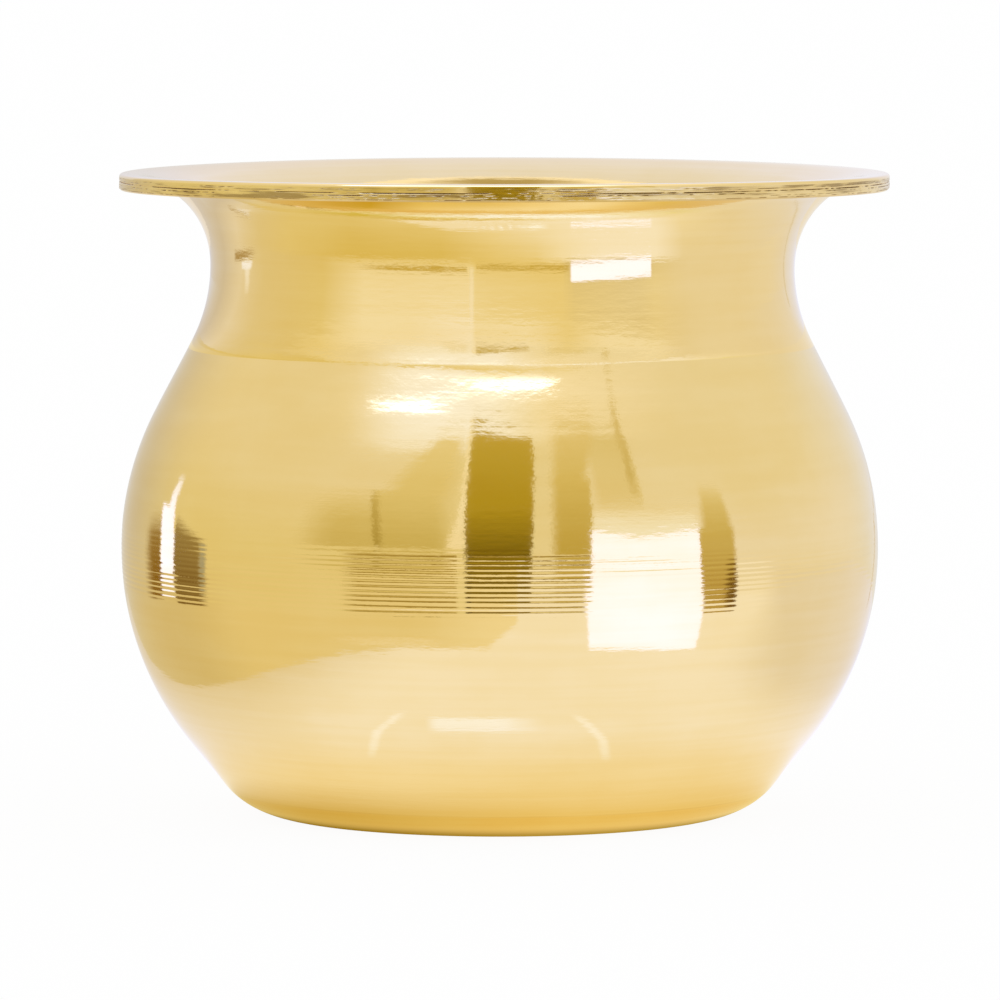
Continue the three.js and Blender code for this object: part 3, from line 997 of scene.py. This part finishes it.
skirt_band("skirt", 56.2, 62.3, [
    (-180, SIDE, SIDE), (-140, STONE, STONE), (-110, EDGE_GREY, STONE), (-95, EDGE_GREY, EDGE_GREY),
    (-82, EDGE_PALE, EDGE_PALE), (-70, TAN, TAN), (-57, DULL, DULL), (-38, DULL, DEEP), (-14, BUFF, DEEP),
    (-2, CREAM, PANEL), (8, LIGHT, BUFF), (14, LIGHT, CREAM), (24, LIGHT, LIGHT), (38, LIGHT, LIGHT),
    (46, CREAM, SIDE), (62, SIDE, SIDE), (92, EDGE_PALE, EDGE_PALE), (101, LILAC, LILAC),
    (140, LILAC, LILAC), (180, SIDE, SIDE)])
skirt_band("skirt_middle", 62.3, 64.9, [
    (-180, SIDE, SIDE), (-140, STONE, STONE), (-95, EDGE_GREY, EDGE_GREY), (-82, EDGE_PALE, EDGE_PALE),
    (-69, TAN, TAN), (-46, OCHRE, DULL), (-34, BUFF, CREAM), (-7, BUFF, CREAM), (-6, PANEL, IVORY),
    (14, PANEL, BUFF), (17, KEY_SHADOW, BUFF), (33, KEY_SHADOW, IVORY), (38, TAN, IVORY), (48, SIDE, SIDE),
    (84, SIDE, SIDE), (97, EDGE_PALE, EDGE_PALE), (101, LILAC, LILAC), (140, LILAC, LILAC),
    (180, SIDE, SIDE)])
skirt_band("skirt_outer", 64.9, 75, [
    (-180, SIDE, SIDE), (-110, EDGE_PALE, EDGE_PALE), (-66, TAN, TAN), (-47, BUFF, BUFF),
    (-34, CREAM, CREAM), (-22, CREAM, LIGHT), (-7, LIGHT, LIGHT), (-6, CREAM, LIGHT), (6, CREAM, LIGHT),
    (16, BUFF, IVORY), (26, CREAM, CREAM), (38, CREAM, CREAM), (47, SIDE, SIDE), (180, SIDE, SIDE)], 0.8)
skirt_card("skirt_shade", (-38, 14, -36, 14), (55.5, 56.2), (0.72, 0.54, 0.10), (0.78, 0.62, 0.20),
           (0.3, 0.4, 0.3, 0.3))
skirt_card("skirt_line", (-32, 14, -30, 12), (56.4, 57.0), (1.1, 1.2, 1.7), (1.05, 1.1, 1.4),
           (0.3, 0.4, 0.3, 0.3))
skirt_card("skirt_cream", (-28, 9, -12, 9), (56.7, 58.8), (1.0, 1.0, 1.1), (1.0, 1.0, 1.1),
           (0.1, 0.3, 0.1, 0.15))
skirt_card("skirt_glint", (-11, 12, -10, 12), (57.7, 58.3), (1.2, 1.45, 2.5), (1.2, 1.45, 2.5),
           (0.2, 0.2, 0.2, 0.2))

# On the skirt, what the neck sees of the top of the panels in front
skirt_card("neck_line_left", (-40, -7.6, -36, -7.6), (62.7, 63.3), (0.58, 0.43, 0.05), (0.66, 0.52, 0.14),
           (0.4, 0.02, 0.25, 0.3))
skirt_card("neck_line", (-6, 16, -6, 16), (62.55, 63.0), (0.56, 0.42, 0.05), (0.68, 0.54, 0.16),
           (0.02, 0.02, 0.2, 0.4))
skirt_card("neck_window_line", (-7.6, -6.1, -7.6, -6.1), (62.6, 65.6), IVORY, LIGHT, (0.4, 0.4, 0.1, 0.4))
skirt_card("neck_edge_line", (95.4, 97.0, 96.6, 98.2), (60.0, 63.6), (0.78, 0.72, 0.62), (0.76, 0.70, 0.60),
           (0.4, 0.4, 0.2, 0.1))

# Close to the neck, cards that paint its reflections: the key light, and on the left a bright mark with a dark
# one beside it
MARK = 55
upright("neck_key", MARK, (14.6, 92.1), (33.4, 92.4), (33.2, 93.56), (14.5, 93.34), WHITE, WHITE,
        (0.03, 0.02, 0.12, 0.06))
upright("neck_mark_dark", MARK, (-77.0, 92.9), (-65.0, 93.4), (-62.0, 93.6), (-76.4, 93.75),
        (0.42, 0.30, 0.13), (0.52, 0.40, 0.22), (0.15, 0.35, 0.3, 0.3))
upright("neck_mark_light", MARK - 0.1, (-72.2, 92.6), (-66.2, 92.6), (-65.0, 93.3), (-72.4, 93.1),
        (1.0, 1.1, 1.6), (1.1, 1.25, 2.1), (0.2, 0.25, 0.25, 0.2))
upright("neck_mark_tail", MARK, (-69.6, 89.6), (-66.8, 89.6), (-67.0, 92.8), (-70.8, 92.8),
        (0.93, 0.92, 1.0), (1.0, 1.06, 1.4), (0.4, 0.4, 0.5, 0.05))

# Behind the rim, for the far inside of the flare: a pale sheet, and a dark panel overhead
BEHIND = (0.91, 0.97, 1.37)
BEHIND_DULL = (0.86, 0.92, 1.30)
band("behind_low", (74, 107.8), (74, 122), [
    (90, (0.88, 0.88, 1.0), (0.90, 0.94, 1.25)), (140, (0.88, 0.86, 0.85), BEHIND),
    (215, (0.84, 0.80, 0.73), BEHIND), (235, (0.76, 0.73, 0.70), BEHIND_DULL),
    (270, (0.78, 0.78, 0.85), (0.88, 0.92, 1.25))])
band("behind_high", (74, 122), (74, 204), [
    (90, (0.90, 0.94, 1.25), (0.90, 0.94, 1.25)), (140, BEHIND, BEHIND), (215, BEHIND, BEHIND),
    (235, BEHIND_DULL, BEHIND_DULL), (270, (0.88, 0.92, 1.25), (0.88, 0.92, 1.25))])
card("behind_dark", (134, 28, 300), (226, 28, 300), (226, 88, 300), (134, 88, 300), (0.48, 0.39, 0.19),
     (0.60, 0.52, 0.34), (0.4, 0.4, 0.1, 0.3))


TABLE_HEIGHT = 0.2 * MM


def table():
    """The white sheet under the pot, as the brass sees it, all painted light: dark and gold by the foot, which
    is painted shade and the pot's own reflection, and bright out to its edge.
    """
    outline = [(-150, 300), (-106, 90), (-98, 40), (-91, 10), (-86, -20), (-81, -58), (-70, -90), (-44, -112),
               (-6, -120), (12, -160), (20, -250), (34, -420), (420, -420), (420, 300)]
    mesh = bpy.data.meshes.new("table")
    mesh.from_pydata([(x * MM, y * MM, TABLE_HEIGHT) for x, y in outline], [], [tuple(range(len(outline)))])
    material, n = new_material("table")
    parts = n.add("ShaderNodeSeparateXYZ")
    n.link(n.add("ShaderNodeTexCoord").outputs["Object"], parts.inputs[0])
    x, y = parts.outputs[0], parts.outputs[1]
    radius = n.math("SQRT", n.plus(n.times(x, x), n.times(y, y)))
    to_right = n.smooth(x, -36 * MM, 14 * MM)
    # Painted shade and painted reflection of the pot, by its foot
    foot = n.mix(to_right, (0.30, 0.18, 0.0), (0.48, 0.33, 0.05))
    gold = n.mix(to_right, (0.72, 0.55, 0.18), (0.92, 0.75, 0.36))
    near = n.mix(n.smooth(radius, 38.4 * MM, 42 * MM), foot, gold)
    warm = n.mix(n.smooth(radius, 44 * MM, 53 * MM), near, (1.0, 0.93, 0.78))
    lit = n.mix(n.smooth(radius, 49 * MM, 68 * MM), warm, (1.03, 1.06, 1.30))
    leftward = n.mix(n.smooth(x, -30 * MM, -110 * MM), lit, (0.80, 0.75, 0.68))
    rightward = n.times(n.smooth(x, 55 * MM, 100 * MM), n.smooth(y, -70 * MM, -15 * MM))
    sideways = n.mix(rightward, leftward, (0.88, 0.88, 1.02))
    glow_only(mesh, material, n, sideways)
    sheet = placed("table", mesh)
    only_reflected(sheet)


floor()
table()
on_table("glint", (-16.5, 65.6), (12, 65.6), (10.5, 72.6), (-17, 72.6), (1.08, 1.2, 1.85), (1.12, 1.3, 2.2),
         (0.12, 0.45, 0.3, 0.3))
on_table("glint_left", (-29.4, 65.6), (-25.6, 65.6), (-19.0, 74.6), (-22.8, 74.6), (1.1, 1.2, 1.75),
         (1.1, 1.2, 1.75), (0.45, 0.45, 0.0, 0.3))
on_table("glint_left_low", (-31.0, 56.5), (-27.6, 56.5), (-25.6, 65.6), (-29.4, 65.6), (1.04, 1.08, 1.3),
         (1.1, 1.2, 1.75), (0.45, 0.45, 0.4, 0.0))
on_table("glint_right", (20.8, 63.4), (24.6, 63.4), (17.6, 73.8), (14.0, 73.8), (1.1, 1.2, 1.75),
         (1.1, 1.2, 1.75), (0.45, 0.45, 0.0, 0.3))
on_table("glint_right_low", (22.2, 55.8), (25.6, 55.8), (24.6, 63.4), (20.8, 63.4), (1.04, 1.08, 1.3),
         (1.1, 1.2, 1.75), (0.45, 0.45, 0.4, 0.0))
on_table("table_edge", (-40, 122), (-10, 124), (-10, 126), (-38, 124.5), (1.12, 1.15, 1.4),
         (1.12, 1.15, 1.4), (0.3, 0.3, 0.3, 0.3))
on_table("table_edge_far", (-46, 128), (-12, 130), (-12, 132), (-44, 130.5), (1.08, 1.1, 1.25),
         (1.08, 1.1, 1.25), (0.3, 0.3, 0.3, 0.3))


def sky():
    """White for the eye and the floor; for the brass, warm in front and pale behind and above."""
    world = bpy.data.worlds.new("studio")
    bpy.context.scene.world = world
    world.use_nodes = True
    n = Nodes(world.node_tree)
    parts = n.add("ShaderNodeSeparateXYZ")
    n.link(n.add("ShaderNodeTexCoord").outputs["Generated"], parts.inputs[0])
    x, y, z = parts.outputs
    front = n.mix(n.smooth(x, -0.5, 0.8), (0.85, 0.79, 0.53), (0.90, 0.88, 0.84))
    back = n.mix(n.smooth(x, -0.6, 0.5), (0.66, 0.62, 0.55), (0.86, 0.88, 0.98))
    room = n.mix(n.smooth(y, 0.35, 0.95), front, back)
    high_left = n.times(n.smooth(z, 0.0, 0.5), n.smooth(x, 0.0, -0.6))
    room = n.mix(n.times(high_left, 0.6), room, (0.92, 0.90, 0.92))
    room = n.mix(n.smooth(z, 0.62, 0.95), room, (1.15, 1.15, 1.3))
    below_back = n.mix(n.smooth(x, -0.5, 0.5), (0.74, 0.66, 0.44), (0.88, 0.83, 0.66))
    below_front = n.mix(n.smooth(x, -0.5, 0.1), (0.87, 0.79, 0.55), (0.98, 0.93, 0.80))
    below = n.mix(n.smooth(y, -0.1, 0.5), below_front, below_back)
    low_right = n.times(n.smooth(x, 0.45, 0.9), n.smooth(z, 0.35, 0.0))
    room = n.mix(low_right, room, (0.92, 0.92, 1.03))
    room = n.mix(n.smooth(z, -0.02, -0.24), room, below)
    path = n.add("ShaderNodeLightPath")
    seen = n.mix(path.outputs["Is Glossy Ray"], (WHITE_LEVEL,) * 3, room)
    background = n.add("ShaderNodeBackground")
    n.link(seen, background.inputs["Color"])
    n.link(background.outputs[0], n.add("ShaderNodeOutputWorld").inputs["Surface"])


sky()

# The camera: long lens, a little above the rim, looking slightly down
CAMERA_DISTANCE = 1350 * MM
CAMERA_HEIGHT = 157 * MM
FOCAL_PIXELS = 7992
IMAGE_PIXELS = 1000
SENSOR = 36.0
LOOK_DOWN = math.radians(4.403)

camera = bpy.data.cameras.new("camera")
camera.sensor_width = SENSOR
camera.lens = SENSOR * FOCAL_PIXELS / IMAGE_PIXELS
camera.clip_start = 0.01
camera.clip_end = 100
viewer = placed("camera", camera)
viewer.location = (0, -CAMERA_DISTANCE, CAMERA_HEIGHT)
viewer.rotation_euler = (QUARTER - LOOK_DOWN, 0, 0)
bpy.context.scene.camera = viewer
bpy.context.scene.view_settings.view_transform = "Standard"
